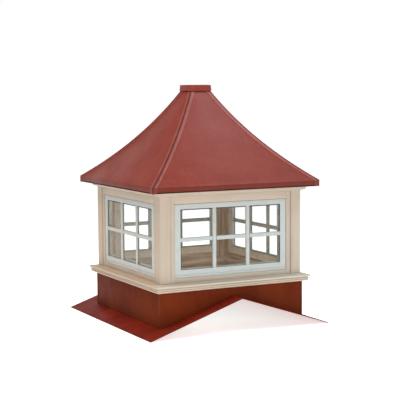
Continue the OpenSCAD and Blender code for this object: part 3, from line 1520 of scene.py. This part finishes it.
    def _cap(self) -> None:
        """Folded cap: tapered sides, eased top edge, flared hem, shallow crossed top."""
        p = self.plan
        half, low, top = p.cap_half, p.cap_low, p.cap_top
        skirt = half + self.cap_flare
        cap = block("cap_cover", p.at(-skirt, skirt, low), p.at(skirt, -skirt, top - 0.001))
        with editing(cap) as pick:
            pick.faces(lambda c, n: n.z > 0.9)
            taper = (half / skirt, half / skirt, 1)
            bpy.ops.transform.resize(value=taper, center_override=(0, p.middle, top))
            bpy.ops.mesh.inset(thickness=0.004)
            bpy.ops.mesh.inset(thickness=0.020)
            bpy.ops.transform.translate(value=(0, 0, 0.001))
            pick.faces(lambda c, n: n.z < -0.9)
            bpy.ops.mesh.delete(type="ONLY_FACE")
        thicken(cap, self.cap_shell)
        straighten(cap)
        ease_edges(cap, 0.0018, 3, 30)
        fit(cap, Slot.ROOF, self.metal, "roof_cap")
        hem = p.run("cap_hem", [
            (skirt - 0.002, low + HAIR), (skirt + 0.0004, low + HAIR), (skirt + 0.0009, low + 0.002),
            (skirt + 0.0004, low + 0.0036), (skirt - 0.002, low + 0.0040)], skirt + SPARE)
        ease_edges(hem, 0.0004)
        for piece in p.round_all(hem, [f"cap_hem_{side}" for side in SIDES]):
            fit(piece, Slot.ROOF, self.metal)


# ---------------------------------------------------------------- studio


@dataclass(frozen=True)
class SoftBox:
    """Square studio light that faces a point."""

    name: str
    place: Point
    size: float
    power: float
    colour: Colour = (1.0, 1.0, 1.0)

    def light(self, target: Vector) -> None:
        """Hangs the light.

        Args:
            target: the point that it faces.
        """
        lamp = bpy.data.lights.new(self.name, "AREA")
        lamp.shape, lamp.size, lamp.energy, lamp.color = "SQUARE", self.size, self.power, self.colour
        obj = bpy.data.objects.new(self.name, lamp)
        bpy.context.scene.collection.objects.link(obj)
        obj.location = self.place
        obj.rotation_euler = (target - obj.location).to_track_quat("-Z", "Y").to_euler()


@dataclass(frozen=True)
class Studio:
    """Camera, soft lights and floor."""

    boxes: tuple[SoftBox, ...] = (
        SoftBox("key_light", (-2.2, -5.2, 1.7), 1.6, 75.0, (1.0, 0.98, 0.95)),
        SoftBox("top_light", (1.9, -1.4, 4.4), 3.0, 148.0, (0.56, 0.86, 1.0)),
        SoftBox("left_light", (-2.1, 0.2, 4.2), 2.0, 98.0, (1.0, 0.86, 0.71)))
    target: Point = (0.0, 0.0, 0.7)
    place: Point = (-3.2072, -6.3912, 1.3660)
    forward: Point = (0.45119771, 0.88755361, -0.09310864)
    roll: float = -0.3989
    lens: float = 107.82
    floor_size: float = 60.0
    overhead: float = 0.45
    leftward: float = 0.02

    def build(self) -> None:
        """Sets up the view, the light and the floor."""
        self._camera()
        self._air()
        bpy.context.scene.view_settings.view_transform = "Standard"
        for box in self.boxes:
            box.light(Vector(self.target))
        bpy.ops.object.select_all(action="DESELECT")
        bpy.ops.mesh.primitive_plane_add(size=self.floor_size, location=(0, 0, 0))
        floor = bpy.context.active_object
        floor.name = "studio_floor"
        settle(floor)
        floor.data.materials.append(StudioFloor().make())

    def _air(self) -> None:
        """White backdrop light at eye level, softer overhead and from the left."""
        air = Recipe("studio_air", world=True)
        high = air.z.ease(0.12, 0.5) * (1 - self.overhead)
        left = (air.x * -1.0).ease(0.1, 0.9) * air.z.ease(0.07, 0.2) * (1 - self.leftward)
        level = (1 - high) * (1 - left)
        tone = air.blend(level, (0.0, 0.0, 0.0), (1.0, 1.0, 1.0))
        light = air.node("ShaderNodeBackground", None, {"Color": tone, "Strength": 1.0})
        air.node_output(light, "ShaderNodeOutputWorld")
        bpy.context.scene.world = air.made

    def _camera(self) -> None:
        """Places the camera at its measured spot."""
        lens = bpy.data.cameras.new("camera")
        lens.lens, lens.sensor_width = self.lens, 36.0
        camera = bpy.data.objects.new("camera", lens)
        bpy.context.scene.collection.objects.link(camera)
        ahead = Vector(self.forward).normalized()
        right = ahead.cross(Vector((0, 0, 1))).normalized()
        up = right.cross(ahead)
        c, s = math.cos(math.radians(self.roll)), math.sin(math.radians(self.roll))
        matrix = Matrix((right * c + up * s, up * c - right * s, -ahead)).transposed().to_4x4()
        matrix.translation = self.place
        camera.matrix_world = matrix
        bpy.context.scene.camera = camera


def sheets(fold: float) -> dict[str, bpy.types.Material]:
    """Makes the painted sheet metals.

    Args:
        fold: height below which the roof's and hips' paint gets painted shade, where the sheets turn away from
            the light.

    Returns:
        The materials by name.
    """
    coats = (
        PaintedSheet("base_cladding", (0.152, 0.024, 0.006), (0.120, 0.018, 0.005), (0.20, 0.055, 0.03),
                     0.55, 0.03, 0.15),
        PaintedSheet("flashing_paint", (0.225, 0.017, 0.007), (0.165, 0.012, 0.005), (0.27, 0.06, 0.03),
                     0.5, 0.06),
        PaintedSheet("flashing_hem_paint", (0.090, 0.018, 0.010), (0.070, 0.014, 0.008), (0.16, 0.07, 0.05),
                     0.5, 0.1),
        PaintedSheet("roof_paint", (0.222, 0.027, 0.013), (0.196, 0.023, 0.011), (0.22, 0.085, 0.085),
                     0.44, 0.20, 0.34, fold),
        # Eave hems: near-black paint, a painted shadow line along the bottom of the fold
        PaintedSheet("roof_hem_painted_shadow", (0.045, 0.008, 0.005), (0.032, 0.006, 0.004), (0.09, 0.03, 0.02),
                     0.55, 0.05),
        # Hip strips: a lighter copy of the roof paint with more dusting, a painted highlight along each hip
        PaintedSheet("hip_paint_painted_highlight", (0.265, 0.042, 0.028), (0.235, 0.035, 0.023), (0.30, 0.11, 0.10),
                     0.42, 0.24, 0.5, fold),
        # Hip beads: dark paint, a painted shadow line beside each arris
        PaintedSheet("hip_bead_painted_shadow", (0.125, 0.016, 0.009), (0.095, 0.012, 0.007), (0.16, 0.05, 0.04),
                     0.5, 0.10))
    return {coat.name: coat.make() for coat in coats}


def painted_boards(stem: str, plan: Plan, grains: Sequence[Grain], **tones: Colour) -> Boards:
    """Makes one painted board for each direction of the grain.

    Args:
        stem: start of the materials' names.
        plan: the main sizes.
        grains: the directions.
        tones: colours that differ from the usual ones.

    Returns:
        The materials by direction.
    """
    bare = plan.room_half + 0.0015
    return {grain: PaintedBoard(f"{stem}_{grain.name.lower()}", grain, plan.middle, bare, **tones).make()
            for grain in grains}


def main() -> None:
    """Builds every sub-assembly in order."""
    logging.basicConfig(level=logging.INFO, format="%(name)s: %(message)s")
    plan = Plan.read()
    fold = 0.032
    metal = sheets(plan.eave + fold)
    boards = painted_boards("cream_board", plan, tuple(Grain))
    # The sills get a lighter copy of the cream paint: painted light, so that their upward faces, shaded by the
    # eave, look as light as the boards
    sills_painted_light = painted_boards("sill_board_painted_light", plan, SIDE_GRAINS[:2], paint=(0.545, 0.445, 0.350),
                           shade=(0.465, 0.370, 0.285))
    ply = Plywood("plywood").make()
    inside = plan.glass_back + 0.001
    vinyl = Vinyl("window_vinyl", plan.middle, inside).make()
    # Bars and glazing beads: darker grey-olive towards the room, partly their own colour and partly painted
    # shade of the room side
    bar_vinyl = Vinyl("bar_vinyl", plan.middle, inside, inner=(0.360, 0.350, 0.280)).make()
    Base(plan, metal["base_cladding"], ply).build()
    Flashing(plan, metal["flashing_paint"], metal["flashing_hem_paint"]).build()
    Sill(plan, sills_painted_light).build()
    Body(plan, boards).build()
    Window(plan, vinyl, bar_vinyl, Rubber("glazing_rubber").make(), ClearGlass("clear_glass").make()).build()
    Eave(plan, boards).build()
    Roof(plan, metal["roof_paint"], metal["roof_hem_painted_shadow"], metal["hip_paint_painted_highlight"], metal["hip_bead_painted_shadow"], ply,
         fold).build()
    Studio().build()


if __name__ == "__main__":
    main()
